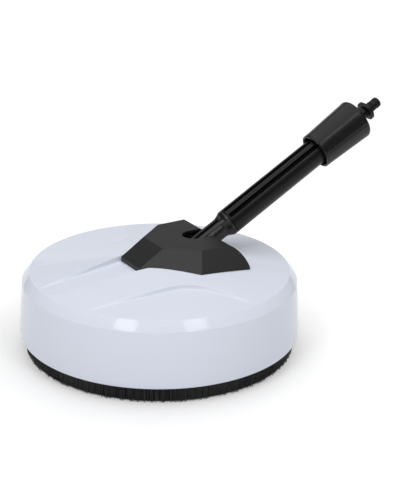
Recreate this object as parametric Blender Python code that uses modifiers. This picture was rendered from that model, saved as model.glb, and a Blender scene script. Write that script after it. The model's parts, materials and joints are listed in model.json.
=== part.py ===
"""Surface cleaner for a pressure washer: a round dome on a bristle skirt, a tilting wand in the
slot of its centre cap, and a two-nozzle spray bar that spins on bearings under the dome.

Sizes are in millimetres below and turned into metres by MM. Heights are above the floor, and plan
positions are measured from the dome's axis, with the wand towards +X; the machine_frame empty then
puts the middle of the whole object's box over the origin."""
import bpy
import bmesh
import math
from mathutils import Vector

MM = 0.001
GAP = 0.3                      # clearance between pieces that rest on each other
RUNNING_GAP = 0.25             # clearance of pieces that turn in each other

# Dome
DOME_R = 145.0                 # widest radius
RIM_R, RIM_Z = 134.0, 84.0     # edge of the lid
CHAMFER_R, CHAMFER_Z = 141.8, 74.3
WALL_FOOT_Z = 16.4
WALL = 3.0
LID_SLOPE = 13.0 / 98.0        # the lid is a shallow cone
FLOOR_SLOPE = 7.1 / 98.0       # and its recesses have a flatter floor
LID_UNDERSIDE_Z = 87.0
LEDGE_R, LEDGE_Z, LEDGE_TOP_Z = 118.0, 24.5, 31.0
FOOT_R = 141.0                 # inside of the wall's foot, where the brush carrier fits
BRISTLE_OUT, BRISTLE_IN = 139.2, 133.0
DOME_STEPS = 48

# Cap over the wand's joint
CAP_TOP_Z = 112.7
CAP_WALL = 2.6
CAP_ARC_X, CAP_ARC_Z, CAP_ARC_R = 45.4, 90.5, 24.4
SLOT_END_X, SLOT_HALF = 40.0, 12.0

# Screws, as plan positions
CAP_SCREWS = [(-20.0, -12.0), (-20.0, 12.0), (44.0, -38.0), (44.0, 38.0)]
HOUSING_SCREWS = [(-10.0, -28.5), (-10.0, 28.5), (57.0, -28.5), (57.0, 28.5)]
BRUSH_SCREW_CIRCLE = 124.0
BRUSH_SCREWS = []
for degrees in (34, 94, 154, 214, 274, 334):
    turn = math.radians(degrees)
    BRUSH_SCREWS.append((BRUSH_SCREW_CIRCLE * math.cos(turn), BRUSH_SCREW_CIRCLE * math.sin(turn)))

# Wand, measured along its axis from the tilt pivot
TILT = math.radians(29.0)      # at rest, above the floor's plane
PIVOT_X = 26.0
PIVOT_Z = 73.0 + PIVOT_X * math.tan(TILT)
SPIGOT_R, TUBE_R = 11.0, 14.5
SHOULDER, TUBE_END = 64.5, 214.0
COLLAR_LOW, COLLAR_HIGH = 191.0, 253.0
COLLAR_LOW_R, COLLAR_HIGH_R = 20.2, 23.0
LUG_START, LUG_END, LUG_R = 264.5, 269.5, 11.2
TIP, NIPPLE_R, NIPPLE_CHAMFER = 285.0, 5.7, 0.8
NIPPLE_GROOVES, GROOVE_WIDTH = (273.2, 279.2), 2.4
PIN_R, BARREL_R, BARREL_HALF = 5.0, 11.5, 12.2
TUBE_GROOVES = (-42.0, 0.0, 42.0)   # angles round the tube from its upper side

# Rotor
SPINDLE_R = 4.0
BEARING_R, BEARING_HEIGHT, LOWER_BEARING_Z, UPPER_BEARING_Z = 9.5, 6.0, 52.0, 66.0
BAR_Z, BAR_R, NOZZLE_RADIUS = 33.0, 3.6, 106.0
HOUSING_R = 14.0
PLATE_TOP, PLATE_THICK = 86.7, 4.7
PLATE_Z = PLATE_TOP - PLATE_THICK

# Middle of the object's box in X: from the dome's edge to the far edge of the nipple's end face
REACH = PIVOT_X + TIP * math.cos(TILT) + (NIPPLE_R - NIPPLE_CHAMFER) * math.sin(TILT)
BOX_MIDDLE = (REACH - DOME_R) / 2.0


def clear_scene():
    for obj in list(bpy.data.objects):
        bpy.data.objects.remove(obj, do_unlink=True)


def collection(name):
    made = bpy.data.collections.new(name)
    bpy.context.scene.collection.children.link(made)
    return made


clear_scene()
PARTS = collection("surface_cleaner")
CUTTERS = collection("cutters")


def material(name, colour, roughness, metallic=0.0):
    mat = bpy.data.materials.new(name)
    mat.use_nodes = True
    shader = mat.node_tree.nodes["Principled BSDF"]
    shader.inputs["Base Color"].default_value = (*colour, 1.0)
    shader.inputs["Roughness"].default_value = roughness
    shader.inputs["Metallic"].default_value = metallic
    return mat


WHITE = ("white_shell", (0.72, 0.74, 0.80), 0.25)
MATT_BLACK = ("matt_black", (0.035, 0.035, 0.036), 0.6)
SATIN_BLACK = ("satin_black", (0.02, 0.02, 0.02), 0.35)
BRISTLE = ("bristle", (0.015, 0.015, 0.015), 0.8)
INNER_PLASTIC = ("inner_plastic", (0.06, 0.06, 0.065), 0.5)
STEEL = ("stainless_steel", (0.6, 0.6, 0.6), 0.3, 1.0)
BRASS = ("brass", (0.75, 0.55, 0.25), 0.3, 1.0)
RUBBER = ("seal_rubber", (0.01, 0.01, 0.01), 0.7)


def empty(name, parent, location=(0, 0, 0), turn_y=0.0):
    obj = bpy.data.objects.new(name, None)
    PARTS.objects.link(obj)
    obj.parent = parent
    obj.location = Vector(location) * MM
    obj.rotation_euler = (0.0, turn_y, 0.0)
    return obj


FRAME = empty("machine_frame", None, (-BOX_MIDDLE, 0.0, 0.0))
WAND = empty("wand_frame", FRAME, (PIVOT_X, 0.0, PIVOT_Z), -TILT)
ROTOR = empty("rotor_frame", FRAME)


def add_mesh(name, mesh, look, parent=FRAME):
    """A named object from a mesh; look is a material's values, or None for a cutter."""
    obj = bpy.data.objects.new(name, mesh)
    obj.parent = parent
    if look is None:
        CUTTERS.objects.link(obj)
        obj.hide_render = True
        obj.display_type = "WIRE"
    else:
        PARTS.objects.link(obj)
        mesh.materials.append(material(name + "_" + look[0], *look[1:]))
    return obj


def smooth(obj, degrees=32.0):
    obj.data.shade_smooth()
    obj.data.set_sharp_from_angle(angle=math.radians(degrees))


def turned(name, profile, look, steps=32, closed=True, parent=FRAME, axis="Z"):
    """Turn a profile of (radius, height) points. It runs down the outer side first; a closed
    profile makes a ring, an open one starts and ends on the axis."""
    bm = bmesh.new()
    verts = [bm.verts.new((r * MM, 0.0, z * MM)) for r, z in profile]
    pairs = list(zip(verts, verts[1:]))
    if closed:
        pairs.append((verts[-1], verts[0]))
    for pair in pairs:
        bm.edges.new(pair)
    mesh = bpy.data.meshes.new(name)
    bm.to_mesh(mesh)
    bm.free()
    obj = add_mesh(name, mesh, look, parent)
    screw = obj.modifiers.new("turn", "SCREW")
    screw.steps = screw.render_steps = steps
    screw.use_merge_vertices = True
    screw.merge_threshold = 0.00001
    screw.use_smooth_shade = False
    if axis == "X":
        obj.rotation_euler = (0.0, math.radians(90.0), 0.0)
    if axis == "Y":
        obj.rotation_euler = (math.radians(-90.0), 0.0, 0.0)
    return obj


def ring(r_in, r_out, low, high):
    return [(r_out, high), (r_out, low), (r_in, low), (r_in, high)]


def rod(r, low, high):
    return [(0.0, high), (r, high), (r, low), (0.0, low)]


def box(name, size, centre, look, parent=FRAME):
    bm = bmesh.new()
    bmesh.ops.create_cube(bm, size=1.0)
    bmesh.ops.scale(bm, vec=Vector(size) * MM, verts=bm.verts)
    mesh = bpy.data.meshes.new(name)
    bm.to_mesh(mesh)
    bm.free()
    obj = add_mesh(name, mesh, look, parent)
    obj.location = Vector(centre) * MM
    return obj


def hull(name, points, look):
    bm = bmesh.new()
    for point in points:
        bm.verts.new(Vector(point) * MM)
    bmesh.ops.convex_hull(bm, input=bm.verts)
    bmesh.ops.dissolve_limit(bm, angle_limit=0.02, verts=bm.verts, edges=bm.edges)
    bmesh.ops.recalc_face_normals(bm, faces=bm.faces)
    mesh = bpy.data.meshes.new(name)
    bm.to_mesh(mesh)
    bm.free()
    return add_mesh(name, mesh, look)


def prism(name, outline, low, high, look):
    """A flat outline made thick: a 2D curve, made a mesh so that Booleans can use it."""
    curve = bpy.data.curves.new(name, "CURVE")
    curve.dimensions = "2D"
    curve.fill_mode = "BOTH"
    curve.extrude = (high - low) * MM / 2.0
    spline = curve.splines.new("POLY")
    spline.points.add(len(outline) - 1)
    for point, (x, y) in zip(spline.points, outline):
        point.co = (x * MM, y * MM, 0.0, 1.0)
    spline.use_cyclic_u = True
    return curve_to_mesh(name, curve, look, (0.0, 0.0, (low + high) / 2.0))


def curve_to_mesh(name, curve, look, centre=(0.0, 0.0, 0.0), parent=FRAME):
    guide = bpy.data.objects.new(name + "_curve", curve)
    CUTTERS.objects.link(guide)
    evaluated = guide.evaluated_get(bpy.context.evaluated_depsgraph_get())
    mesh = bpy.data.meshes.new_from_object(evaluated)
    bpy.data.objects.remove(guide)
    bm = bmesh.new()
    bm.from_mesh(mesh)
    bmesh.ops.remove_doubles(bm, verts=bm.verts, dist=0.00001)
    bmesh.ops.recalc_face_normals(bm, faces=bm.faces)
    bm.to_mesh(mesh)
    bm.free()
    mesh.materials.clear()
    mesh.name = name
    obj = add_mesh(name, mesh, look, parent)
    obj.location = Vector(centre) * MM
    return obj


def combine(target, other, operation="DIFFERENCE"):
    boolean = target.modifiers.new(operation.lower(), "BOOLEAN")
    boolean.operation = operation
    boolean.object = other
    return target


def arc(cx, cy, r, start, end, count):
    """Points of an arc, its angles in degrees."""
    step = (end - start) / (count - 1)
    angles = [math.radians(start + step * i) for i in range(count)]
    return [(cx + r * math.cos(a), cy + r * math.sin(a)) for a in angles]


def lid_z(r, slope):
    return RIM_Z + max(RIM_R - r, 0.0) * slope


# ------------------------------------------------------------------ dome shell
def trough_outline(inset=0.0):
    """The tapered recess opposite the wand."""
    at_cap, at_rim = 21.5 - inset, 9.5 - inset
    return [(-150.0, -at_rim + 2.0), (-20.0, -at_cap - 2.0), (-20.0, at_cap + 2.0), (-150.0, at_rim - 2.0)]


def side_outline(side):
    """A corner-shaped recess beside the cap, open to the rim."""
    corner = [(-150.0, 60.4)] + arc(-28.4, 112.4, 46.0, -87.2, -27.6, 7)
    corner += [(53.6, 170.0), (-150.0, 170.0)]
    return [(x, y * side) for x, y in (corner if side > 0 else reversed(corner))]


def recess_cutter(name, outline, raise_by=0.0):
    """The space above a recess's floor, within its outline."""
    cutter = prism(name, outline, RIM_Z - 6.0, RIM_Z + 40.0, None)
    edge_z = RIM_Z - 0.1 + raise_by
    beyond, beneath = 190.0, 60.0
    floor = [(0.0, edge_z + RIM_R * FLOOR_SLOPE), (RIM_R, edge_z), (beyond, edge_z), (beyond, beneath),
             (0.0, beneath)]
    below = turned(name + "_floor", floor, None, DOME_STEPS, closed=False)
    return combine(cutter, below)


def dome_shell():
    outer = [(0.0, lid_z(0.0, LID_SLOPE)), (RIM_R, RIM_Z), (CHAMFER_R, CHAMFER_Z), (143.6, 52.0),
             (144.8, 30.0), (DOME_R, 22.0), (144.5, 18.4), (143.0, WALL_FOOT_Z + 0.3), (FOOT_R, WALL_FOOT_Z)]
    inner = [(FOOT_R, LEDGE_Z), (LEDGE_R, LEDGE_Z), (LEDGE_R, LEDGE_TOP_Z), (141.2, LEDGE_TOP_Z + 2.0),
             (CHAMFER_R - WALL, CHAMFER_Z - 1.0), (RIM_R - 2.0, RIM_Z - WALL), (82.0, LID_UNDERSIDE_Z - 2.0),
             (70.0, LID_UNDERSIDE_Z), (0.0, LID_UNDERSIDE_Z)]
    shell = turned("dome_shell", outer + inner, WHITE, DOME_STEPS, closed=False)
    combine(shell, recess_cutter("cut_trough", trough_outline()))
    for side in (-1, 1):
        combine(shell, recess_cutter("cut_side_%d" % side, side_outline(side)))
    combine(shell, box("cut_joint_opening", (80.0, 50.0, 60.0), (26.0, 0.0, 95.0), None))
    for x, y in CAP_SCREWS:
        combine(shell, turned_at("cut_cap_screw", rod(2.3, 70.0, 110.0), x, y))
    for x, y in HOUSING_SCREWS:
        combine(shell, turned_at("cut_housing_screw", rod(2.0, 80.0, 91.3), x, y))
    for x, y in BRUSH_SCREWS:
        combine(shell, turned_at("cut_brush_screw", rod(2.0, 20.0, 29.8), x, y))
    return shell


def turned_at(name, profile, x, y, look=None, steps=12, closed=False, parent=FRAME):
    obj = turned(name, profile, look, steps, closed, parent)
    obj.location = Vector((x, y, 0.0)) * MM
    return obj


def screw(name, x, y, under_head, tip, shank_r, head_r):
    """A pan-head screw that points up, its recess in the head."""
    head = under_head - 2.4
    profile = [(0.0, tip), (shank_r * 0.5, tip), (shank_r, tip - 1.6), (shank_r, under_head),
               (head_r, under_head), (head_r, head + 0.8), (head_r - 0.8, head), (1.4, head),
               (1.2, head + 1.2), (0.0, head + 1.4)]
    obj = turned_at(name, profile, x, y, STEEL, 12)
    smooth(obj)
    return obj


def screws():
    for i, (x, y) in enumerate(CAP_SCREWS, 1):
        screw("cap_screw_%d" % i, x, y, LID_UNDERSIDE_Z - GAP, 99.0, 1.7, 3.6)
    for i, (x, y) in enumerate(HOUSING_SCREWS, 1):
        screw("housing_screw_%d" % i, x, y, PLATE_Z - GAP, 90.8, 1.7, 3.6)
    for i, (x, y) in enumerate(BRUSH_SCREWS, 1):
        screw("brush_screw_%d" % i, x, y, 16.5 - GAP, 28.5, 1.6, 3.2)


# ------------------------------------------------------------------ centre cap
def cap_points(inset=0.0, drop=0.0):
    """Corners of the faceted cap, which runs past the rounded end that trims it."""
    low = [(-34.6 + inset, 19.4 - inset * 0.6), (13.8 + inset * 0.3, 60.2 - inset), (90.0, 63.5 - inset)]
    top = [(-8.1 + inset * 0.4, 19.8 - inset * 0.5), (23.2 + inset * 0.2, 44.6 - inset * 0.8),
           (90.0, 46.0 - inset)]
    low_z = [96.0 - inset, 94.0 - inset, 92.0 - inset]
    points = []
    for side in (-1.0, 1.0):
        points += [(x, y * side, 84.0 - drop) for x, y in low]
        points += [(x, y * side, CAP_TOP_Z - inset) for x, y in top]
        points += [(x, y * side, z) for (x, y), z in zip(low, low_z)]
    return points


def rounded_end(name, r):
    """Everything behind the cap's end on the wand's side, which rounds over into its top."""
    outline = [(-80.0, 60.0), (CAP_ARC_X + r, 60.0)] + arc(CAP_ARC_X, CAP_ARC_Z, r, 0.0, 90.0, 17)
    end = prism(name, outline + [(-80.0, CAP_ARC_Z + r)], -80.0, 80.0, None)
    end.rotation_euler = (math.radians(90.0), 0.0, 0.0)
    return end


def lid_block(name, raise_by):
    """Everything up to the lid's surface, so that the cap stands on it with a small gap."""
    edge_z = RIM_Z + raise_by
    profile = [(0.0, edge_z + RIM_R * LID_SLOPE), (RIM_R, edge_z), (RIM_R, 60.0), (0.0, 60.0)]
    block = turned(name, profile, None, DOME_STEPS, closed=False)
    return combine(block, recess_cutter(name + "_trough", trough_outline(GAP), raise_by))


def centre_cap():
    cap = hull("centre_cap", cap_points(), MATT_BLACK)
    combine(cap, rounded_end("trim_end", CAP_ARC_R), "INTERSECT")
    inside = hull("cut_cap_inside", cap_points(CAP_WALL, 3.0), None)
    combine(inside, rounded_end("trim_inside_end", CAP_ARC_R - CAP_WALL), "INTERSECT")
    combine(cap, inside)
    for i, (x, y) in enumerate(CAP_SCREWS):
        boss_top = CAP_TOP_Z - 1.5 if x > 0 else 101.8
        combine(cap, turned_at("cap_boss_%d" % i, rod(4.2, 86.0, boss_top), x, y), "UNION")
    combine(cap, lid_block("lid_under_cap", GAP))
    slot = [(90.0, SLOT_HALF)] + arc(SLOT_END_X, 0.0, SLOT_HALF, 90.0, 270.0, 13) + [(90.0, -SLOT_HALF)]
    combine(cap, prism("cut_slot", slot, 80.0, 130.0, None))
    for i, (x, y) in enumerate(CAP_SCREWS):
        combine(cap, turned_at("cut_boss_%d" % i, rod(2.0, 80.0, 99.6), x, y))
    return cap


# ------------------------------------------------------------------ brush skirt
def brush_skirt():
    outer, top, low = FOOT_R - GAP, LEDGE_Z - GAP, WALL_FOOT_Z + 0.3
    channel_out, channel_in, channel_top = BRISTLE_OUT + 0.4, BRISTLE_IN - 0.4, 20.0
    carrier = [(outer, top), (outer, low), (channel_out, low), (channel_out, channel_top),
               (channel_in, channel_top), (channel_in, low), (LEDGE_R, low), (LEDGE_R, top)]
    ring_holder = turned("brush_carrier", carrier, INNER_PLASTIC, DOME_STEPS)
    for i, (x, y) in enumerate(BRUSH_SCREWS):
        combine(ring_holder, turned_at("cut_carrier_%d" % i, rod(2.0, 10.0, 30.0), x, y))
    skirt = [(BRISTLE_OUT, channel_top - GAP), (BRISTLE_OUT, 8.0), (BRISTLE_OUT - 0.1, 0.0),
             (BRISTLE_IN, 0.0), (BRISTLE_IN, channel_top - GAP)]
    turned("bristle_skirt", skirt, BRISTLE, DOME_STEPS)


# ------------------------------------------------------------------ fixed joint under the cap
def swivel_housing():
    middle = (PLATE_Z + PLATE_TOP) / 2.0
    plate = box("swivel_housing", (76.0, 65.0, PLATE_THICK), (24.0, 0.0, middle), INNER_PLASTIC)
    combine(plate, box("cut_hub_space", (38.0, 25.0, 20.0), (33.0, 0.0, 85.0), None))
    combine(plate, turned("add_tower", rod(HOUSING_R, 50.0, 83.6), None, 20, closed=False), "UNION")
    for side in (-1, 1):
        pocket = box("cut_pin_end_%d" % side, (20.0, 7.2, 30.0), (PIVOT_X, side * 22.7, 88.0), None)
        combine(plate, pocket)
        ear = box("add_ear_%d" % side, (25.0, 6.4, 24.0), (PIVOT_X, side * 15.9, 88.0), None)
        combine(plate, ear, "UNION")
    combine(plate, box("add_wand_stop", (7.0, 16.0, 3.7), (56.5, 0.0, 87.55), None), "UNION")
    pin_hole = turned("cut_pin_hole", rod(PIN_R + GAP, -30.0, 30.0), None, 16, closed=False, axis="Y")
    pin_hole.location = Vector((PIVOT_X, 0.0, PIVOT_Z)) * MM
    combine(plate, pin_hole)
    clearance = rod(BARREL_R + 0.8, -BARREL_HALF - 0.4, BARREL_HALF + 0.4)
    hub_space = turned("cut_hub_clearance", clearance, None, 20, closed=False, axis="Y")
    hub_space.location = Vector((PIVOT_X, 0.0, PIVOT_Z)) * MM
    combine(plate, hub_space)
    bearing_seat = BEARING_R + GAP
    bore = [(0.0, 95.0), (2.5, 95.0), (2.5, 79.0), (5.5, 79.0), (5.5, 73.0), (bearing_seat, 73.0),
            (bearing_seat, 40.0), (0.0, 40.0)]
    combine(plate, turned("cut_bore", bore, None, 20, closed=False))
    for i, (x, y) in enumerate(HOUSING_SCREWS):
        combine(plate, turned_at("cut_plate_%d" % i, rod(2.0, 70.0, 100.0), x, y))
    return plate


def trunnion():
    pin = [(0.0, 24.0), (3.0, 24.0), (5.0, 23.0), (5.0, 21.6), (4.2, 21.6), (4.2, 20.2), (5.0, 20.2)]
    for centre in (8.0, -8.0):
        pin += [(5.0, centre + 1.1), (4.0, centre + 1.1), (4.0, centre - 1.1), (5.0, centre - 1.1)]
    pin += [(5.0, -19.5), (8.0, -19.5), (8.0, -22.5), (2.2, -22.5), (2.2, 16.0), (0.0, 16.0)]
    parts = [turned("trunnion_pin", pin, STEEL, 16, closed=False, axis="Y")]
    for i, centre in enumerate((8.0, -8.0), 1):
        seal = ring(4.2, 5.1, centre - 0.8, centre + 0.8)
        parts.append(turned("trunnion_oring_%d" % i, seal, RUBBER, 16, axis="Y"))
    parts.append(turned("trunnion_circlip", ring(4.4, 8.0, 20.4, 21.4), STEEL, 16, axis="Y"))
    for part in parts:
        part.location = Vector((PIVOT_X, 0.0, PIVOT_Z)) * MM
        smooth(part)


# ------------------------------------------------------------------ spinning spray bar
def rotor():
    for name, low in (("lower_bearing", LOWER_BEARING_Z), ("upper_bearing", UPPER_BEARING_Z)):
        turned(name, ring(SPINDLE_R + RUNNING_GAP, BEARING_R, low, low + BEARING_HEIGHT), STEEL, 20)
    between = ring(6.5, BEARING_R, LOWER_BEARING_Z + BEARING_HEIGHT + GAP, UPPER_BEARING_Z - GAP)
    turned("bearing_spacer", between, INNER_PLASTIC, 20)
    turned("shaft_seal", ring(SPINDLE_R + RUNNING_GAP, 5.2, 73.5, 78.5), RUBBER, 16)
    spindle = [(1.6, 78.0), (SPINDLE_R, 78.0), (SPINDLE_R, 51.0), (3.3, 51.0), (3.3, 49.6),
               (SPINDLE_R, 49.6), (SPINDLE_R, 30.0), (1.6, 30.0)]
    shaft = turned("spindle", spindle, STEEL, 16, parent=ROTOR)
    smooth(shaft)
    clip = turned("spindle_circlip", ring(3.6, 6.4, 49.8, 50.8), STEEL, 16, parent=ROTOR)
    smooth(clip)
    profile = [(0.0, 29.6), (SPINDLE_R + GAP, 29.6), (SPINDLE_R + GAP, 44.0), (9.0, 44.0), (11.0, 41.0),
               (11.0, 27.0), (9.5, 25.0), (0.0, 25.0)]
    hub = turned("spray_hub", profile, INNER_PLASTIC, 20, closed=False, parent=ROTOR)
    socket = turned("cut_hub_sockets", rod(BAR_R + GAP, -20.0, 20.0), None, 16, closed=False,
                    parent=ROTOR, axis="Y")
    socket.location = Vector((0.0, 0.0, BAR_Z)) * MM
    combine(hub, socket)
    for name, side in (("left", 1.0), ("right", -1.0)):
        spray_arm(name, side)


def spray_arm(name, side):
    """A pipe from the hub that bends down into its nozzle."""
    bend_r, start = 9.0, 6.0
    points = [(start, BAR_Z)] + arc(NOZZLE_RADIUS - bend_r, BAR_Z - bend_r, bend_r, 90.0, 0.0, 6)
    points.append((NOZZLE_RADIUS, 20.0))
    curve = bpy.data.curves.new("spray_arm_" + name, "CURVE")
    curve.dimensions = "3D"
    curve.bevel_depth = BAR_R * MM
    curve.bevel_resolution = 2
    curve.use_fill_caps = True
    spline = curve.splines.new("POLY")
    spline.points.add(len(points) - 1)
    for point, (along, z) in zip(spline.points, points):
        point.co = (0.0, side * along * MM, z * MM, 1.0)
    arm = curve_to_mesh("spray_arm_" + name, curve, STEEL, parent=ROTOR)
    smooth(arm, 50.0)
    nozzle = [(BAR_R + GAP, 23.6), (5.6, 23.6), (6.2, 22.6), (6.2, 18.0), (4.6, 14.5), (1.0, 14.5),
              (1.4, 17.0), (1.4, 19.4), (BAR_R + GAP, 19.4)]
    tip = turned("nozzle_" + name, nozzle, BRASS, 16, parent=ROTOR)
    tip.location = Vector((0.0, side * NOZZLE_RADIUS, 0.0)) * MM
    smooth(tip)


# ------------------------------------------------------------------ tilting wand
def wand_spigot():
    """Barrel on the trunnion pin and the arm that carries the tube."""
    arm = [(0.0, SHOULDER + 16.0), (11.6, SHOULDER + 16.0), (11.6, SHOULDER), (TUBE_R, SHOULDER),
           (TUBE_R, SHOULDER - 2.0), (TUBE_R - 0.9, SHOULDER - 3.5), (SPIGOT_R, SHOULDER - 10.5),
           (SPIGOT_R, 4.0), (0.0, 4.0)]
    spigot = turned("wand_spigot", arm, SATIN_BLACK, 24, closed=False, parent=WAND, axis="X")
    barrel = turned("add_barrel", rod(BARREL_R, -BARREL_HALF, BARREL_HALF), None, 24, closed=False,
                    parent=WAND, axis="Y")
    combine(spigot, barrel, "UNION")
    combine(spigot, turned("cut_trunnion", rod(PIN_R + GAP, -20.0, 20.0), None, 16, closed=False,
                           parent=WAND, axis="Y"))
    combine(spigot, turned("cut_water_way", rod(4.4, 2.0, SHOULDER + 30.0), None, 20, closed=False,
                           parent=WAND, axis="X"))
    return spigot


def wand_tube():
    low, high = SHOULDER + GAP, TUBE_END
    tube = turned("wand_tube", ring(12.0, TUBE_R, low, high), SATIN_BLACK, 32, parent=WAND, axis="X")
    for i, angle in enumerate(TUBE_GROOVES):
        groove = box("cut_groove_%d" % i, (high - low - 4.0, 4.4, 6.0), (0.0, 0.0, 0.0), None, WAND)
        lift, tilt = TUBE_R + 1.5, math.radians(angle)
        middle = (low + high) / 2.0 + 2.5
        groove.location = Vector((middle, -lift * math.sin(tilt), lift * math.cos(tilt))) * MM
        groove.rotation_euler = (tilt, 0.0, 0.0)
        combine(tube, groove)
    turned("core_pipe", ring(2.6, 4.1, 14.0, 246.0), STEEL, 20, parent=WAND, axis="X")


def collar():
    low, high = COLLAR_LOW, COLLAR_HIGH
    wall, bore = 2.4, 8.4
    profile = [(COLLAR_HIGH_R - 2.4, high), (COLLAR_HIGH_R - 0.5, high - 1.2), (COLLAR_HIGH_R, high - 3.0),
               (COLLAR_LOW_R, low), (COLLAR_LOW_R - wall, low), (COLLAR_HIGH_R - wall - 0.6, high - 3.4),
               (bore, high - 3.4), (bore, high)]
    sleeve = turned("collar", profile, SATIN_BLACK, 32, parent=WAND, axis="X")
    smooth(sleeve)
    adapter = [(14.0, high - 3.8), (14.0, TUBE_END + GAP), (11.6, TUBE_END + GAP), (11.6, TUBE_END - 14.0),
               (4.4, TUBE_END - 14.0), (4.4, high - 5.6), (6.9, high - 5.6), (6.9, high - 3.8)]
    turned("tube_adapter", adapter, INNER_PLASTIC, 20, parent=WAND, axis="X")


def bayonet_plug():
    """Neck, lugs and grooved nipple that lock into the washer's gun or lance."""
    neck_r = 6.6
    grooves = []
    for start in NIPPLE_GROOVES:
        end = start + GROOVE_WIDTH
        grooves += [(NIPPLE_R, end), (4.4, end), (4.4, start), (NIPPLE_R, start)]
    outer = [(1.9, TIP), (NIPPLE_R - NIPPLE_CHAMFER, TIP), (NIPPLE_R, TIP - NIPPLE_CHAMFER)]
    outer += grooves[4:] + grooves[:4]
    outer += [(NIPPLE_R, LUG_END), (LUG_R - 0.2, LUG_END), (LUG_R, LUG_END - 1.0), (LUG_R, LUG_START),
              (neck_r, LUG_START), (neck_r, COLLAR_HIGH - 5.2), (1.9, COLLAR_HIGH - 5.2)]
    plug = turned("bayonet_plug", outer, SATIN_BLACK, 20, parent=WAND, axis="X")
    for side in (-1, 1):
        flat = box("cut_lug_flat_%d" % side, (LUG_END - LUG_START + 1.0, 30.0, 10.0),
                   ((LUG_START + LUG_END) / 2.0, 0.0, side * 13.6), None, WAND)
        combine(plug, flat)
    for i, start in enumerate(NIPPLE_GROOVES, 1):
        seal = turned("nipple_oring_%d" % i, ring(4.7, 5.9, start + 0.4, start + 2.0), RUBBER, 16,
                      parent=WAND, axis="X")
        smooth(seal)
    turned("pipe_seal", ring(4.4, 8.0, SHOULDER + 16.3, SHOULDER + 18.3), RUBBER, 16, parent=WAND,
           axis="X")


dome_shell()
centre_cap()
screws()
brush_skirt()
swivel_housing()
trunnion()
rotor()
wand_spigot()
wand_tube()
collar()
bayonet_plug()
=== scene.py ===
"""Looks for the surface cleaner: glossy dome, matt cap, satin wand, real bristles, studio and camera.

The object's sizes are in millimetres, turned into metres by MM. Places on the dome are measured from
its axis, and places on the wand along it from the tilt pivot. The studio is in metres."""
import json
import math
import bpy
import bmesh
import numpy as np
from mathutils import Matrix, Vector

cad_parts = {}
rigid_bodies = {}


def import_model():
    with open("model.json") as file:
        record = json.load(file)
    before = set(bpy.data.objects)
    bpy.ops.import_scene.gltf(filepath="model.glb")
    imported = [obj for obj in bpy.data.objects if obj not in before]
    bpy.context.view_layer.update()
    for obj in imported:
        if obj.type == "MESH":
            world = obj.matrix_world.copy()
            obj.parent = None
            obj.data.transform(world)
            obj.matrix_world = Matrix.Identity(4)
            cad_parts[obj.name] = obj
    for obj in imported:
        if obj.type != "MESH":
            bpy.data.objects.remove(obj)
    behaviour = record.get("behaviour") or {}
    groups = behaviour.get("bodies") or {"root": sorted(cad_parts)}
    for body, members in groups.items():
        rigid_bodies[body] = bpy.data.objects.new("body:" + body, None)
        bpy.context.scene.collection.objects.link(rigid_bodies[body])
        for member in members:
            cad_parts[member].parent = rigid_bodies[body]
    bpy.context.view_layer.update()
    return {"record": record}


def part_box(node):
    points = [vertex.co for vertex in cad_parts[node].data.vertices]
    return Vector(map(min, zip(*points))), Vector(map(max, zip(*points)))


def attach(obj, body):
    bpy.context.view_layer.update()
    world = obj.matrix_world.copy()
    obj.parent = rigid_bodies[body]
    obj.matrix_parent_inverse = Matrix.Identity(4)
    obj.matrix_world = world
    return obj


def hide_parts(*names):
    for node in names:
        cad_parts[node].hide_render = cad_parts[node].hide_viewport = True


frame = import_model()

MM = 0.001
FULL_TURN = 2.0 * math.pi

# ------------------------------------------------------------------ places read from the frame
dome_low, dome_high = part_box("dome_shell")
AXIS_X = (dome_low[0] + dome_high[0]) / 2.0                      # the dome's axis
DOME_R = (dome_high[0] - dome_low[0]) / 2.0 / MM
RECORD = frame["record"]
PIVOT = Vector(next(j["pos_m"] for j in RECORD["behaviour"]["joints"] if j["name"] == "wand_tilt"))
WAND_AXIS = Vector(next(m["axis"] for m in RECORD["mounts"] if m["name"] == "inlet_lug_face")).normalized()
TO_AXIS = Matrix.Translation((AXIS_X, 0.0, 0.0))                 # from places on the dome to the world


# ------------------------------------------------------------------ mesh helpers
SAME_PLACE = 1e-7              # metres between points that count as one
LONGEST_REACH = 0.48           # the most of a side that one rounded corner takes up
SUPPORT = 1.3                  # where an extra point keeps the side beside a rounded corner flat
SUPPORT_ROOM = 3.0             # reaches that a side must hold to have that point


def add_object(name, mesh, mat, body, replaced, smooth_angle):
    obj = bpy.data.objects.new(name, mesh)
    bpy.context.scene.collection.objects.link(obj)
    mesh.materials.append(mat)
    mesh.shade_smooth()
    mesh.set_sharp_from_angle(angle=math.radians(smooth_angle))
    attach(obj, body)
    if replaced:
        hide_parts(*replaced)
    return obj


def mesh_from(bm, name):
    mesh = bpy.data.meshes.new(name)
    bm.to_mesh(mesh)
    bm.free()
    return mesh


def closed_mesh(name, verts, faces, merge=False):
    """A mesh whose faces look outwards; merge joins points that lie on each other."""
    mesh = bpy.data.meshes.new(name)
    mesh.from_pydata(verts, [], faces)
    bm = bmesh.new()
    bm.from_mesh(mesh)
    if merge:
        bmesh.ops.remove_doubles(bm, verts=bm.verts, dist=SAME_PLACE)
    bmesh.ops.recalc_face_normals(bm, faces=bm.faces)
    bm.to_mesh(mesh)
    bm.free()
    return mesh


def ring_mesh(name, points):
    """A closed surface from rings of points (rings x columns x 3), which wraps round both ways."""
    rows, cols = points.shape[:2]
    index = np.arange(rows * cols).reshape(rows, cols)
    after = np.roll(index, -1, axis=0)
    quads = np.stack([index, after, np.roll(after, -1, axis=1), np.roll(index, -1, axis=1)], axis=-1)
    return closed_mesh(name, points.reshape(-1, 3).tolist(), quads.reshape(-1, 4).tolist(), merge=True)


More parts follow.
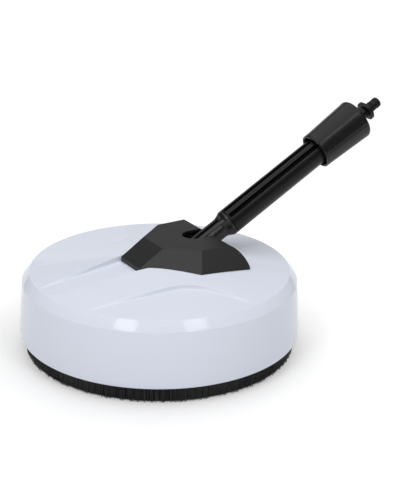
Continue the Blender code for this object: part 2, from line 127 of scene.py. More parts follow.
def block(name, size, centre, rounding=0.0):
    """A box's mesh, its centre in metres, with rounded edges where rounding is given."""
    bm = bmesh.new()
    bmesh.ops.create_cube(bm, size=1.0)
    bmesh.ops.scale(bm, vec=Vector(size) * MM, verts=bm.verts)
    if rounding:
        bmesh.ops.bevel(bm, geom=bm.edges[:], offset=rounding * MM, segments=3, affect="EDGES")
    bmesh.ops.translate(bm, vec=centre, verts=bm.verts)
    return mesh_from(bm, name)


def filleted(corners, steps=6):
    """A profile through corners of (radius, height, rounding), each rounded corner a soft curve."""
    out = []
    for i, (radius, height, rounding) in enumerate(corners):
        if rounding == 0.0 or i in (0, len(corners) - 1):
            out.append((radius, height))
            continue
        corner = Vector((radius, height))
        before = Vector(corners[i - 1][:2]) - corner
        after = Vector(corners[i + 1][:2]) - corner
        shorter = min(before.length * LONGEST_REACH, after.length * LONGEST_REACH)
        reach = min(rounding / math.tan(before.angle(after) / 2.0), shorter)
        start, end = corner + before.normalized() * reach, corner + after.normalized() * reach
        has_room = min(before.length, after.length) > reach * SUPPORT_ROOM
        if has_room:
            out.append(tuple(corner + before.normalized() * reach * SUPPORT))
        for k in range(steps + 1):
            t = k / steps
            out.append(tuple(start * (1 - t) ** 2 + corner * 2 * t * (1 - t) + end * t ** 2))
        if has_room:
            out.append(tuple(corner + after.normalized() * reach * SUPPORT))
    return out


def angles_round(count):
    return np.linspace(0.0, FULL_TURN, count, endpoint=False)


def lathe(name, profile, mat, body, replaced, segments, place, shape=None):
    """Turn a closed profile of (radius, height) points round an axis. place is the matrix that puts its
    Z axis in the world, and shape(angle, radius, height) may change the radius."""
    angles = angles_round(segments)
    r = np.array([p[0] for p in profile])[:, None] * np.ones((1, segments))
    z = np.array([p[1] for p in profile])[:, None] * np.ones((1, segments))
    if shape is not None:
        r = shape(angles[None, :] * np.ones_like(r), r, z)
    mesh = ring_mesh(name, np.stack([r * np.cos(angles), r * np.sin(angles), z], axis=-1) * MM)
    mesh.transform(place)
    return add_object(name, mesh, mat, body, replaced, smooth_angle=35.0)


def smoothstep(x):
    x = np.clip(x, 0.0, 1.0)
    return x * x * (3.0 - 2.0 * x)


# ------------------------------------------------------------------ materials
EVEN = (1.0, 1.0, 1.0)         # a texture that isn't stretched
NOISE_RANGE = (0.3, 0.7)       # where nearly all of a noise's values lie
DRIFT_SCALE = 9.0              # of a plastic's broad drift of colour
LINE_SCALE, LINE_DEPTH, LINE_SHADE = 900.0, 1e-5, 0.85     # of the fine lines in metal


def grey(value):
    return (value, value, value)


def new_material(name, colour, roughness, metallic=0.0, specular=0.5):
    mat = bpy.data.materials.new(name)
    mat.use_nodes = True
    shader = mat.node_tree.nodes["Principled BSDF"]
    shader.inputs["Base Color"].default_value = (*colour, 1.0)
    shader.inputs["Roughness"].default_value = roughness
    shader.inputs["Metallic"].default_value = metallic
    shader.inputs["Specular IOR Level"].default_value = specular
    return mat, mat.node_tree, shader


def noise(tree, scale, detail=3.0, stretch=EVEN):
    coords = tree.nodes.new("ShaderNodeTexCoord")
    mapping = tree.nodes.new("ShaderNodeMapping")
    mapping.inputs["Scale"].default_value = stretch
    texture = tree.nodes.new("ShaderNodeTexNoise")
    texture.inputs["Scale"].default_value = scale
    texture.inputs["Detail"].default_value = detail
    tree.links.new(coords.outputs["Object"], mapping.inputs["Vector"])
    tree.links.new(mapping.outputs["Vector"], texture.inputs["Vector"])
    return texture.outputs["Fac"]


def map_range(tree, value, given, wanted, interpolation="LINEAR"):
    node = tree.nodes.new("ShaderNodeMapRange")
    node.interpolation_type = interpolation
    for socket, number in zip(("From Min", "From Max", "To Min", "To Max"), (*given, *wanted)):
        node.inputs[socket].default_value = number
    tree.links.new(value, node.inputs["Value"])
    return node.outputs["Result"]


def vary_colour(tree, shader, value, dark, light):
    mix = tree.nodes.new("ShaderNodeMix")
    mix.data_type = "RGBA"
    mix.inputs["A"].default_value = (*dark, 1.0)
    mix.inputs["B"].default_value = (*light, 1.0)
    tree.links.new(map_range(tree, value, NOISE_RANGE, (0.0, 1.0)), mix.inputs["Factor"])
    tree.links.new(mix.outputs["Result"], shader.inputs["Base Color"])


def vary_roughness(tree, shader, value, low, high):
    tree.links.new(map_range(tree, value, NOISE_RANGE, (low, high)), shader.inputs["Roughness"])


def bump(tree, shader, value, depth):
    node = tree.nodes.new("ShaderNodeBump")
    node.inputs["Distance"].default_value = depth
    node.inputs["Strength"].default_value = 1.0
    tree.links.new(value, node.inputs["Height"])
    tree.links.new(node.outputs["Normal"], shader.inputs["Normal"])


def plastic(name, colour, roughness, grain, depth, colour_spread, rough_spread, specular=0.5, stretch=EVEN):
    """Moulded plastic: a broad drift of colour, and a fine grain in its gloss and its surface. grain is
    the noise's scale, depth its height in metres, and the spreads how far colour and roughness vary."""
    mat, tree, shader = new_material(name, colour, roughness, specular=specular)
    broad = noise(tree, DRIFT_SCALE, detail=2.0)
    fine = noise(tree, grain, detail=4.0, stretch=stretch)
    dark = tuple(c * (1.0 - colour_spread) for c in colour)
    light = tuple(min(c * (1.0 + colour_spread), 1.0) for c in colour)
    vary_colour(tree, shader, broad, dark, light)
    vary_roughness(tree, shader, fine, roughness - rough_spread, roughness + rough_spread)
    bump(tree, shader, fine, depth)
    return mat


def metal(name, colour, roughness, stretch):
    """Turned or drawn metal: fine lines along its working direction."""
    mat, tree, shader = new_material(name, colour, roughness, metallic=1.0)
    lines = noise(tree, LINE_SCALE, stretch=stretch)
    vary_colour(tree, shader, lines, tuple(c * LINE_SHADE for c in colour), colour)
    vary_roughness(tree, shader, lines, roughness - 0.06, roughness + 0.1)
    bump(tree, shader, lines, LINE_DEPTH)
    return mat


WHITE = plastic("glossy_white_shell", (0.70, 0.735, 0.83), roughness=0.05, grain=260.0, depth=5e-7,
                colour_spread=0.012, rough_spread=0.01, specular=0.16)
MATT = plastic("matt_black_cap", (0.007, 0.007, 0.0073), roughness=0.44, grain=2600.0, depth=2e-5,
               colour_spread=0.05, rough_spread=0.05, specular=0.42)
SATIN = plastic("satin_black_wand", grey(0.005), roughness=0.36, grain=900.0, depth=1e-6,
                colour_spread=0.1, rough_spread=0.015, specular=0.19)
# painted shade: a near-black, dull material for the floors of the wand's grooves, standing in for their
# shadow
GROOVE_SHADE = plastic("wand_groove_painted_shade", grey(0.0015), roughness=0.6, grain=900.0, depth=2e-6,
                 colour_spread=0.1, rough_spread=0.02, specular=0.05)
NECK = plastic("satin_black_neck", grey(0.006), roughness=0.33, grain=900.0, depth=1e-6,
               colour_spread=0.1, rough_spread=0.015, specular=0.45)
COLLAR = plastic("satin_black_collar", grey(0.006), roughness=0.34, grain=1500.0, depth=4e-6,
                 colour_spread=0.1, rough_spread=0.03, specular=0.26)
DARK = plastic("inner_black_plastic", (0.05, 0.05, 0.055), roughness=0.5, grain=1200.0, depth=2e-5,
               colour_spread=0.1, rough_spread=0.06)
RUBBER = plastic("seal_rubber", grey(0.012), roughness=0.7, grain=1800.0, depth=2e-5,
                 colour_spread=0.15, rough_spread=0.08, specular=0.3)
BRISTLE = plastic("nylon_bristles", grey(0.017), roughness=0.4, grain=700.0, depth=1e-5,
                  colour_spread=0.8, rough_spread=0.1, specular=0.35, stretch=(1.0, 1.0, 0.1))
# painted shade: the core of bristle roots is darker and duller than the bristles, for the shade deep in the
# brush
SHADED_ROOTS = plastic("bristle_roots_painted_shade", grey(0.008), roughness=0.7, grain=700.0, depth=1e-5,
                colour_spread=0.5, rough_spread=0.1, specular=0.1)
STEEL = metal("stainless_steel", (0.62, 0.62, 0.61), roughness=0.28, stretch=(1.0, 1.0, 0.08))
BRASS = metal("turned_brass", (0.78, 0.58, 0.28), roughness=0.26, stretch=(0.1, 0.1, 1.0))


# ------------------------------------------------------------------ dome
RIM_R, RIM_Z = 134.0, 84.0             # edge of the lid
CHAMFER_R, CHAMFER_Z = 141.8, 74.3     # lower edge of the chamfer round it
FOOT_R, FOOT_Z = 141.0, 16.4           # inside of the wall's foot
LEDGE_R, LEDGE_Z, LEDGE_TOP_Z = 118.0, 24.5, 31.0
LID_UNDERSIDE_Z = 87.0
HOLE_R = 12.0                          # left out of the lid, inside the joint's opening
OPENING_SIZE, OPENING_X, OPENING_Z = (80.0, 50.0, 60.0), 26.0, 95.0
LID_SLOPE, FLOOR_SLOPE = 13.0 / 98.0, 7.1 / 98.0     # cones of the lid and of its recesses
TROUGH_STEP, SIDE_STEP = 1.6, 2.6      # plan widths of the recesses' steep walls
TROUGH_INSIDE, SIDE_INSIDE = 0.6, 0.85     # share of those widths inside a recess's outline
TROUGH_RIM_X, TROUGH_LENGTH = -131.0, 95.0
TROUGH_RIM_HALF, TROUGH_CAP_HALF = 9.5, 21.5
CORNER_X, CORNER_Y, CORNER_R = -28.4, 112.4, 46.0    # round corner of a side recess
CORNER_FROM, CORNER_TO = math.radians(-87.2), math.radians(-27.6)
FAR_OUTSIDE = 60.0                     # a distance where no recess has any effect
LID_RINGS, DOME_COLUMNS = 200, 720


def trough_distance(x, y):
    """Distance outside the tapered recess opposite the wand; negative inside it."""
    widening = (TROUGH_CAP_HALF - TROUGH_RIM_HALF) * (x - TROUGH_RIM_X) / TROUGH_LENGTH
    return np.where(x < 0.0, np.abs(y) - (TROUGH_RIM_HALF + widening), FAR_OUTSIDE)


def side_distance(x, y):
    """Distance outside the round-cornered recesses beside the cap."""
    dx, dy = x - CORNER_X, np.abs(y) - CORNER_Y
    along = dx * math.cos(CORNER_FROM) + dy * math.sin(CORNER_FROM)
    across = dx * math.cos(CORNER_TO) + dy * math.sin(CORNER_TO)
    angle = np.arctan2(dy, dx)
    in_corner = (angle > CORNER_FROM) & (angle < CORNER_TO)
    return np.where(in_corner, np.hypot(dx, dy), np.maximum(along, across)) - CORNER_R


def lid_height(x, y):
    inward = np.maximum(RIM_R - np.hypot(x, y), 0.0)
    high, low = RIM_Z + inward * LID_SLOPE, RIM_Z + inward * FLOOR_SLOPE
    beside_trough = smoothstep(trough_distance(x, y) / TROUGH_STEP + TROUGH_INSIDE)
    beside_corner = smoothstep(side_distance(x, y) / SIDE_STEP + SIDE_INSIDE)
    return low + (high - low) * beside_trough * beside_corner


def cut_joint_opening(obj):
    """Cut the opening for the wand's joint through the lid, and keep the result as plain mesh."""
    centre = Vector((AXIS_X + OPENING_X * MM, 0.0, OPENING_Z * MM))
    cutter = bpy.data.objects.new("joint_opening", block("joint_opening", OPENING_SIZE, centre))
    bpy.context.scene.collection.objects.link(cutter)
    cut = obj.modifiers.new("opening", "BOOLEAN")
    cut.object = cutter
    graph = bpy.context.evaluated_depsgraph_get()
    done = bpy.data.meshes.new_from_object(obj.evaluated_get(graph))
    obj.modifiers.clear()
    obj.data = done
    bpy.data.objects.remove(cutter)


def dome():
    """One closed shell: lid with its recesses, chamfer, wall, rolled foot and the inside."""
    lid_edge = RIM_R - 1.0
    lid_r = np.linspace(HOLE_R, lid_edge, LID_RINGS)
    edge = [(lid_edge, RIM_Z + 0.1, 0.0), (RIM_R, RIM_Z - 0.05, 0.7), (138.4, 79.0, 0.0),
            (CHAMFER_R, CHAMFER_Z, 1.6)]
    wall = [(143.6, 52.0, 40.0), (144.8, 30.0, 40.0), (DOME_R, 22.0, 12.0), (144.6, 18.2, 4.0),
            (143.4, 16.7, 3.0), (FOOT_R, FOOT_Z, 0.6)]
    ledge = [(FOOT_R, LEDGE_Z, 0.5), (LEDGE_R, LEDGE_Z, 0.5), (LEDGE_R, LEDGE_TOP_Z, 0.5)]
    inside = [(141.2, 33.0, 3.0), (138.8, 73.3, 6.0), (132.0, 81.0, 6.0), (82.0, 85.0, 10.0),
              (70.0, LID_UNDERSIDE_Z, 10.0), (HOLE_R, LID_UNDERSIDE_Z, 0.0)]
    below_lid = filleted(edge + wall + ledge + inside, steps=5)[1:]
    profile_r = np.concatenate([lid_r, [p[0] for p in below_lid]])
    profile_z = np.concatenate([np.zeros_like(lid_r), [p[1] for p in below_lid]])
    angle = angles_round(DOME_COLUMNS)
    x, y = profile_r[:, None] * np.cos(angle), profile_r[:, None] * np.sin(angle)
    z = profile_z[:, None] * np.ones_like(x)
    z[:LID_RINGS] = lid_height(x[:LID_RINGS], y[:LID_RINGS])
    mesh = ring_mesh("dome_surface", np.stack([x * MM + AXIS_X, y * MM, z * MM], axis=-1))
    obj = add_object("dome_surface", mesh, WHITE, "dome", ["dome_shell"], smooth_angle=50.0)
    cut_joint_opening(obj)


# ------------------------------------------------------------------ bristle skirt
BRISTLE_TOP, CORE_FOOT = 19.6, 1.2
CORE_OUT_R, CORE_IN_R = 137.4, 133.8
STRAND_OUT_R, STRAND_IN_R = 139.2, 133.2       # how far out and in a strand's foot may lean
BRISTLE_ROWS = [(138.9, 1150), (138.3, 1100), (137.7, 1100), (136.4, 700), (135.2, 700), (134.0, 800),
                (133.4, 900)]                  # radius of a row and its number of strands
TOP_HALF, FOOT_HALF, FLATNESS = 0.30, 0.17, 0.7    # half widths of a strand, and its depth to width
JITTER = 0.35                                  # how far a strand may be off its place, in spacings
LEAN_OUT, LEAN_SIDE, TUFT_LEAN = 0.12, 0.004, 0.0012   # outwards in mm, sideways in radians
TUFTS, LONGEST_CUT, CUT_SHARE = 180, 1.5, 0.7          # most tufts are a little shorter
CLUMPS, THIN_SHARE, THIN_OUTSIDE_R = 1000, 0.35, 138.0     # clumps left out of the outer rows
FOOT_SPREAD, FOOT_GAP = 0.5, 0.3               # heights of the strands' feet
FRAYED_SHARE, FRAYED_CUT = 0.05, (0.5, 2.0)    # the few strands that are much shorter
LONG_SHARE, LONG_FOOT = 0.3, 0.02              # those that nearly touch the floor, in an uncut tuft


def which_one(angle, count):
    """Which of count equal parts of the ring an angle lies in."""
    return (angle * count / FULL_TURN).astype(int) % count


def strand(verts, faces, top, foot):
    """Add one tapered four-sided strand; its ends are (radius, angle, height, half width)."""
    base = len(verts)
    for end_r, end_angle, z, half in (top, foot):
        for outward, sideways in ((-half, 0.0), (0.0, half), (half, 0.0), (0.0, -half)):
            r, angle = end_r + outward * FLATNESS, end_angle + sideways / end_r
            verts.append((r * math.cos(angle) * MM + AXIS_X, r * math.sin(angle) * MM, z * MM))
    for k in range(4):
        n = (k + 1) % 4
        faces.append((base + k, base + n, base + 4 + n, base + 4 + k))
    faces.append((base, base + 3, base + 2, base + 1))
    faces.append((base + 4, base + 5, base + 6, base + 7))


def bristles():
    """Rows of tapered nylon bristles round a dense core, set in tufts with thin places between; the core is
    darker and duller than the bristles, as painted shade for the depth seen through those places.
    """
    rng = np.random.default_rng(7)
    core = [(CORE_OUT_R, BRISTLE_TOP), (CORE_OUT_R, CORE_FOOT), (CORE_IN_R, CORE_FOOT),
            (CORE_IN_R, BRISTLE_TOP)]
    lathe("bristle_core", core, SHADED_ROOTS, "dome", None, 180, TO_AXIS)
    tuft_cut = rng.uniform(0.0, LONGEST_CUT, TUFTS) * (rng.random(TUFTS) < CUT_SHARE)
    thin_place = rng.random(CLUMPS) < THIN_SHARE
    verts, faces = [], []
    for radius, count in BRISTLE_ROWS:
        angle = (np.arange(count) + rng.uniform(-JITTER, JITTER, count)) * FULL_TURN / count
        lean_out = rng.normal(0.0, LEAN_OUT, count)
        lean_side = rng.normal(0.0, LEAN_SIDE, count) + np.sin(angle * TUFTS + radius) * TUFT_LEAN
        foot = np.abs(rng.normal(0.0, FOOT_SPREAD, count))
        foot = foot + (rng.random(count) < FRAYED_SHARE) * rng.uniform(*FRAYED_CUT, count)
        foot = np.where(rng.random(count) < LONG_SHARE, LONG_FOOT, foot + FOOT_GAP)
        foot = foot + tuft_cut[which_one(angle, TUFTS)]
        present = ~thin_place[which_one(angle, CLUMPS)] | (radius < THIN_OUTSIDE_R)
        for a, out, side, low in zip(angle[present], lean_out[present], lean_side[present], foot[present]):
            low_r = min(max(radius + out, STRAND_IN_R), STRAND_OUT_R)
            strand(verts, faces, (radius, a, BRISTLE_TOP, TOP_HALF), (low_r, a + side, low, FOOT_HALF))
    mesh = closed_mesh("bristle_rows", verts, faces)
    add_object("bristle_rows", mesh, BRISTLE, "dome", ["bristle_skirt"], smooth_angle=60.0)


# ------------------------------------------------------------------ wand, along its axis from the pivot
SPIGOT_R, TUBE_R, SHOULDER, TUBE_END = 11.0, 14.5, 64.5, 214.0
TUBE_LOW, TUBE_BORE_R = SHOULDER + 0.3, 10.6
WATER_WAY_R, TONGUE_R, TONGUE_LENGTH = 4.4, 9.9, 16.0      # the tongue holds the tube from inside
SPIGOT_LOW = 9.0
FLARE_START, FLARE_LENGTH = SHOULDER - 3.6, 8.5            # where the spigot widens to the tube
BARREL_R, BARREL_BORE_R, BARREL_HALF = 11.5, 5.3, 12.2
UP = math.pi / 2.0             # the angle of the wand's upper side
TUBE_GROOVE_TURN, RIB_TURN = math.radians(40.0), math.radians(32.0)    # from the upper side
TUBE_GROOVE_HALF, TUBE_GROOVE_EDGE, TUBE_GROOVE_DEPTH = 2.0, 0.4, 3.6  # an edge is its soft width
SPIGOT_GROOVE_HALF, SPIGOT_GROOVE_EDGE, SPIGOT_GROOVE_DEPTH = 2.9, 0.5, 2.2
RIB_HALF, RIB_EDGE, RIB_HEIGHT = 1.0, 0.9, 0.7
SPIGOT_WAIST = 0.4             # how much slimmer than SPIGOT_R the spigot is between its ribs


def wand_place():
    """Z along the wand, from the pivot; local +Y looks up."""
    side = Vector((0.0, 1.0, 0.0))
    up = WAND_AXIS.cross(side)
    return Matrix.Translation(PIVOT) @ Matrix((side, up, WAND_AXIS)).transposed().to_4x4()


def from_upper_side(angle, place=0.0):
    """How far round the wand an angle is from its upper side, or from a place that far round."""
    return (angle - UP - place + math.pi) % FULL_TURN - math.pi


def paint_groove_shade(obj, place, between_radii, between_heights):
    """Give the faces deep in a groove a near-black, dull material: painted shade for the shadow deep in the
    groove.
    """
    obj.data.materials.append(GROOVE_SHADE)
    from_axis = place.inverted()
    for face in obj.data.polygons:
        middle = from_axis @ face.center / MM
        deep = between_radii[0] < math.hypot(middle.x, middle.y) < between_radii[1]
        if deep and between_heights[0] < middle.z < between_heights[1]:
            face.material_index = 1


def tube_grooves(angle, r, z):
    """Three deep grooves with ribs between them, on the side that looks up."""
    turn = from_upper_side(angle)
    across = np.minimum(np.abs(turn), np.abs(np.abs(turn) - TUBE_GROOVE_TURN)) * TUBE_R
    inside = 1.0 - smoothstep((across - TUBE_GROOVE_HALF) / TUBE_GROOVE_EDGE)
    along = smoothstep((z - SHOULDER - 1.8) / 0.8)
    return np.where(r > TUBE_R - 0.7, r - TUBE_GROOVE_DEPTH * inside * along, r)


def spigot_ribs(angle, r, z):
    """The spigot has a groove along its top and a raised rib on each side of it."""
    turn = from_upper_side(angle)
    fade = (1.0 - smoothstep((r - SPIGOT_R) / 2.0)) * smoothstep((z - 14.0) / 4.0)
    groove = 1.0 - smoothstep((np.abs(turn) * SPIGOT_R - SPIGOT_GROOVE_HALF) / SPIGOT_GROOVE_EDGE)
    rib = 1.0 - smoothstep((np.abs(np.abs(turn) - RIB_TURN) * SPIGOT_R - RIB_HALF) / RIB_EDGE)
    relief = RIB_HEIGHT * rib - SPIGOT_GROOVE_DEPTH * groove - SPIGOT_WAIST
    return np.where(r > SPIGOT_R - 0.6, r + relief * fade, r)


def wand_tube(place):
    run_out = TUBE_LOW + 3.4   # below this the rings are close together, for the grooves' ends
    tube = [(TUBE_R, TUBE_END), (TUBE_R, run_out)] + [(TUBE_R, run_out - 0.2 * k) for k in range(1, 14)]
    tube += [(TUBE_R - 0.15, TUBE_LOW + 0.45), (TUBE_R - 0.6, TUBE_LOW), (TUBE_BORE_R, TUBE_LOW),
             (TUBE_BORE_R, TUBE_END)]
    obj = lathe("wand_tube_surface", tube, SATIN, "wand", ["wand_tube"], 360, place,
                tube_grooves)
    # painted shade on the floors of the tube's grooves
    paint_groove_shade(obj, place, (TUBE_BORE_R + 0.1, TUBE_R - 0.9), (TUBE_LOW + 0.6, TUBE_END - 0.1))


def wand_spigot(place):
    """The spigot with its flare and its tongue, and the barrel on the trunnion pin."""
    flare = [(WATER_WAY_R, SHOULDER + TONGUE_LENGTH), (TONGUE_R, SHOULDER + TONGUE_LENGTH),
             (TONGUE_R, SHOULDER), (TUBE_R - 0.4, SHOULDER), (TUBE_R, SHOULDER - 0.5),
             (TUBE_R, SHOULDER - 2.0), (TUBE_R - 0.8, SHOULDER - 3.4)]
    steps = 14
    for k in range(steps + 1):
        t = k / steps
        widening = (TUBE_R - 0.9 - SPIGOT_R) * (1.0 - t) ** 2
        flare.append((SPIGOT_R + widening, FLARE_START - t * FLARE_LENGTH))
    flare += [(SPIGOT_R, SHOULDER - 20.0 - 4.0 * k) for k in range(9)]
    flare += [(SPIGOT_R, SPIGOT_LOW), (WATER_WAY_R, SPIGOT_LOW)]
    obj = lathe("spigot_surface", flare, NECK, "wand", ["wand_spigot"], 240, place,
                spigot_ribs)
    # painted shade on the floor of the spigot's groove
    paint_groove_shade(obj, place, (WATER_WAY_R + 0.6, SPIGOT_R - 1.4), (18.0, SHOULDER - 9.0))
    barrel = filleted([(BARREL_R, -BARREL_HALF, 0.0), (BARREL_R, BARREL_HALF, 0.8),
                       (BARREL_BORE_R, BARREL_HALF, 0.4), (BARREL_BORE_R, -BARREL_HALF, 0.0)])
    sideways = Matrix.Translation(PIVOT) @ Matrix.Rotation(math.radians(90.0), 4, "X")
    lathe("spigot_barrel", barrel, SATIN, "wand", None, 64, sideways)


# ------------------------------------------------------------------ collar
COLLAR_LOW, COLLAR_HIGH = 191.0, 253.0
COLLAR_LOW_R, COLLAR_HIGH_R = 20.2, 23.0
COLLAR_WALL, COLLAR_END, COLLAR_BORE_R = 2.4, 3.4, 8.4
PANELS, PANEL_DEPTH, PANEL_START = 8.0, 0.26, math.radians(41.0)
SEAMS, SEAM_R = (75.0, 88.0, 272.0, 285.0), 20.0       # in degrees, and the radius they are drawn at
SEAM_DEPTH, SEAM_HALF = 0.3, 0.45
TAB_SIZE, TAB_CENTRE = (3.4, 1.8, 3.2), (-1.5, 17.2, 253.4)


def collar_panels(angle, r, z):
    """Eight soft panels, and fine seams low on each side."""
    outer = smoothstep((r - COLLAR_LOW_R + 1.0) / 0.6)
    seam = 0.0
    for degrees in SEAMS:
        across = from_upper_side(angle, math.radians(degrees)) * SEAM_R
        seam = seam + np.exp(-(across / SEAM_HALF) ** 2)
    ends = smoothstep((z - COLLAR_LOW - 1.5) / 3.0) * smoothstep((COLLAR_HIGH - 3.0 - z) / 3.0)
    soft_edges = PANEL_DEPTH * np.cos(PANELS * (angle - UP - PANEL_START)) - PANEL_DEPTH
    return r + (soft_edges - SEAM_DEPTH * seam) * outer * ends


def collar(place):
    low, high, low_r, high_r = COLLAR_LOW, COLLAR_HIGH, COLLAR_LOW_R, COLLAR_HIGH_R
    outer = [(COLLAR_BORE_R, high), (high_r - 3.0, high), (high_r - 1.2, high - 0.5),
             (high_r - 0.3, high - 1.8)]
    for t in np.linspace(1.0, 0.0, 24):
        outer.append((low_r + (high_r - low_r) * t, low + 1.0 + (high - 5.0 - low) * t))
    outer += [(low_r - 0.3, low + 0.2), (low_r - 0.9, low), (low_r - 1.9, low),
              (low_r - COLLAR_WALL, low + 0.6), (high_r - COLLAR_WALL, high - COLLAR_END),
              (COLLAR_BORE_R, high - COLLAR_END)]
    lathe("collar_surface", outer, COLLAR, "wand", ["collar"], 200, place, collar_panels)


def collar_tab(place):
    """The small tab that stands on the collar's upper end."""
    mesh = block("collar_tab", TAB_SIZE, Vector(TAB_CENTRE) * MM, rounding=0.5)
    mesh.transform(place)
    add_object("collar_tab", mesh, COLLAR, "wand", None, smooth_angle=40.0)


# ------------------------------------------------------------------ bayonet plug
TIP, NIPPLE_R, NECK_R, PLUG_BORE_R, PLUG_LOW = 285.0, 5.7, 6.6, 1.9, 247.8
LUG_START, LUG_END, LUG_R = 264.5, 269.5, 11.2
FLAT_HALF, UNCUT_R = 8.6, 8.0          # the flange's half width across its flats; inside, nothing is cut
NIPPLE_GROOVES, GROOVE_WIDTH, GROOVE_R = (273.2, 279.2), 2.4, 4.4
SEAL_R, SEAL_HALF = 5.15, 0.8


def lugs(angle, r, z):
    """The flange is narrower across its flats."""
    reach = FLAT_HALF / np.maximum(np.abs(np.sin(angle)), 1e-6)
    return np.where(r > UNCUT_R, np.minimum(r, np.maximum(reach, UNCUT_R)), r)


def bayonet(place):
    """Neck, two lugs, nipple with ring grooves, and the water way."""
    outer = [(PLUG_BORE_R, TIP), (NIPPLE_R - 0.8, TIP), (NIPPLE_R, TIP - 0.8)]
    for start in reversed(NIPPLE_GROOVES):
        outer += [(NIPPLE_R, start + GROOVE_WIDTH), (GROOVE_R, start + GROOVE_WIDTH - 0.1),
                  (GROOVE_R, start + 0.1), (NIPPLE_R, start)]
    outer += [(NIPPLE_R, LUG_END + 0.4), (NIPPLE_R + 0.5, LUG_END), (LUG_R - 0.6, LUG_END),
              (LUG_R, LUG_END - 0.7), (LUG_R, LUG_START + 0.7), (LUG_R - 0.6, LUG_START),
              (NECK_R + 0.6, LUG_START), (NECK_R, LUG_START - 0.8), (NECK_R, PLUG_LOW),
              (PLUG_BORE_R, PLUG_LOW)]
    lathe("bayonet_surface", outer, SATIN, "wand", ["bayonet_plug"], 160, place, lugs)
    for i, start in enumerate(NIPPLE_GROOVES, 1):
        centre = start + GROOVE_WIDTH / 2.0
        circle = [(SEAL_R + SEAL_HALF * math.cos(a), centre + SEAL_HALF * math.sin(a))
                  for a in angles_round(12)]
        lathe("nipple_seal_%d" % i, circle, RUBBER, "wand", ["nipple_oring_%d" % i], 64, place)


# ------------------------------------------------------------------ CAD pieces that stay
LOOKS = {"satin_black": SATIN, "matt_black": MATT, "inner_plastic": DARK, "steel": STEEL, "brass": BRASS,
         "rubber": RUBBER, "bristle": BRISTLE, "white_shell": WHITE}


def carried_over():
    """Finer materials on the CAD's own nodes, and soft edges on the cap."""
    for part in RECORD["subparts"]:
        for place in bpy.data.objects[part["node"]].material_slots:
            place.material = LOOKS[part["material_slot"]]
    soften = bpy.data.objects["centre_cap"].modifiers.new("edges", "BEVEL")
    soften.width = 0.9 * MM
    soften.segments = 3
    soften.limit_method = "ANGLE"
    soften.angle_limit = math.radians(20.0)


# ------------------------------------------------------------------ studio and camera, in metres
WAND_TURN = math.radians(30.0)         # between the wand's direction and the camera's right
FROM_VIEW = TO_AXIS @ Matrix.Rotation(-WAND_TURN, 4, "Z")      # X to the camera's right, Y away from it
CAMERA_DISTANCE, CAMERA_HEIGHT = 1.2463, 0.5812
YAW, LOOK_DOWN, ROLL = math.radians(1.89), math.radians(-20.97), math.radians(0.76)
LENS, SENSOR = 93.6, 36.0
AIM = Vector((0.0, 0.0, 0.05))         # what every light points at
SOFTBOXES = [                          # name, size, place and power in watts
    ("top_softbox", (5.0, 5.0), (0.1, 0.4, 3.4), 120.5),
    ("back_softbox", (2.6, 0.9), (0.0, 2.4, 0.47), 3.7),
    ("left_softbox", (0.5, 0.4), (-0.71, -1.09, 1.52), 7.0),
    ("right_softbox", (0.5, 0.4), (0.74, -1.07, 1.512), 4.8),
    ("key_softbox", (1.4, 0.8), (-0.5, -2.05, 0.8), 5.2)]
WHITE_LIGHT = (1.0, 1.0, 1.0, 1.0)
WORLD_STRENGTH = 0.12
FLOOR_HALF = 9.0
FLOOR_SHADE_MIDDLE = Vector((-0.035, -0.03, -0.0002))    # middle of the ramps below, just under the bristles; the floor's painted shade round the dome is centred here, a little to the camera's left and front of the dome's axis
BESIDE_DOME = (0.15, 0.28)             # distances from the dome's foot to where the floor is open
TO_HORIZON = (0.5, 3.5)                # distances over which the top light fades, and the floor's painted glow towards the horizon grows
FLOOR_TONES = (0.68, 0.45)             # beside the dome and in the open
FLOOR_GLOW, HORIZON_GLOW = (0.305, 0.65), (0.0, 0.4)   # the floor's painted glow beside the dome and in the open, and the painted glow added towards the horizon


def camera():
    """The photograph's viewing angle, given round the dome's axis."""
    level = math.cos(LOOK_DOWN)
    forward = Vector((math.sin(YAW) * level, math.cos(YAW) * level, math.sin(LOOK_DOWN)))
    right = Vector((math.cos(YAW), -math.sin(YAW), 0.0))
    up = right.cross(forward)
    side = right * math.cos(ROLL) + up * math.sin(ROLL)
    top = up * math.cos(ROLL) - right * math.sin(ROLL)
    axes = Matrix((side, top, -forward)).transposed().to_4x4()
    data = bpy.data.cameras.new("camera")
    data.lens = LENS
    data.sensor_width = SENSOR
    obj = bpy.data.objects.new("camera", data)
    bpy.context.scene.collection.objects.link(obj)
    obj.matrix_world = FROM_VIEW @ Matrix.Translation((0.0, -CAMERA_DISTANCE, CAMERA_HEIGHT)) @ axes
    bpy.context.scene.camera = obj


def softbox(name, size, place, power):
    data = bpy.data.lights.new(name, "AREA")
    data.shape = "RECTANGLE"
    data.size, data.size_y = size
    data.energy = power
    obj = bpy.data.objects.new(name, data)
    bpy.context.scene.collection.objects.link(obj)
    turned = (AIM - Vector(place)).to_track_quat("-Z", "Y").to_matrix().to_4x4()
    obj.matrix_world = FROM_VIEW @ Matrix.Translation(place) @ turned


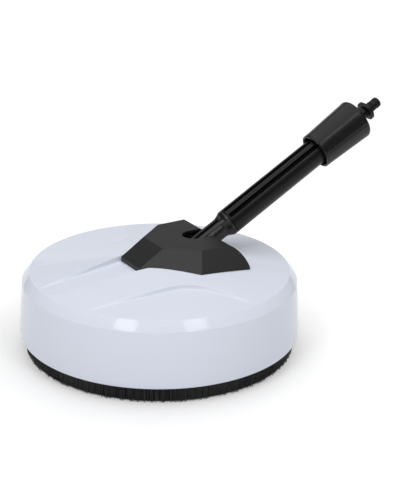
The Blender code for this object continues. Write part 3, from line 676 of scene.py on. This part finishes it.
def ramp_outwards(tree, distances, values):
    """A value that changes smoothly between two distances from the floor's middle."""
    coords = tree.nodes.new("ShaderNodeTexCoord")
    away = tree.nodes.new("ShaderNodeVectorMath")
    away.operation = "LENGTH"
    tree.links.new(coords.outputs["Object"], away.inputs[0])
    return map_range(tree, away.outputs["Value"], distances, values, "SMOOTHSTEP")


def floor_material():
    """Pale floor: beside the dome it mostly takes the lamps' light, so that the shadow shows, and there it
    glows less and is darker even where lit, which is painted shade round the dome. In the open it glows
    more by itself, as painted light, so that it stays white to the horizon."""
    mat, tree, shader = new_material("pale_floor", grey(FLOOR_TONES[0]), 0.9, specular=0.0)
    vary_roughness(tree, shader, noise(tree, 2.0), 0.85, 0.95)
    colour = tree.nodes.new("ShaderNodeCombineColor")
    for channel in ("Red", "Green", "Blue"):
        tree.links.new(ramp_outwards(tree, BESIDE_DOME, FLOOR_TONES), colour.inputs[channel])
    tree.links.new(colour.outputs["Color"], shader.inputs["Base Color"])
    glow = tree.nodes.new("ShaderNodeMath")
    tree.links.new(ramp_outwards(tree, BESIDE_DOME, FLOOR_GLOW), glow.inputs[0])
    tree.links.new(ramp_outwards(tree, TO_HORIZON, HORIZON_GLOW), glow.inputs[1])
    shader.inputs["Emission Color"].default_value = WHITE_LIGHT
    tree.links.new(glow.outputs["Value"], shader.inputs["Emission Strength"])
    return mat


def studio():
    bm = bmesh.new()
    bmesh.ops.create_grid(bm, x_segments=2, y_segments=2, size=FLOOR_HALF)
    floor = bpy.data.objects.new("floor", mesh_from(bm, "floor"))
    bpy.context.scene.collection.objects.link(floor)
    floor.location = FROM_VIEW @ FLOOR_SHADE_MIDDLE
    floor.data.materials.append(floor_material())
    world = bpy.data.worlds.new("studio")
    bpy.context.scene.world = world
    world.use_nodes = True
    background = world.node_tree.nodes["Background"]
    background.inputs["Color"].default_value = WHITE_LIGHT
    background.inputs["Strength"].default_value = WORLD_STRENGTH
    for box in SOFTBOXES:
        softbox(*box)
    bpy.context.scene.view_settings.view_transform = "Standard"


camera()
studio()
dome()
bristles()
wand_axes = wand_place()
wand_tube(wand_axes)
wand_spigot(wand_axes)
collar(wand_axes)
collar_tab(wand_axes)
bayonet(wand_axes)
carried_over()
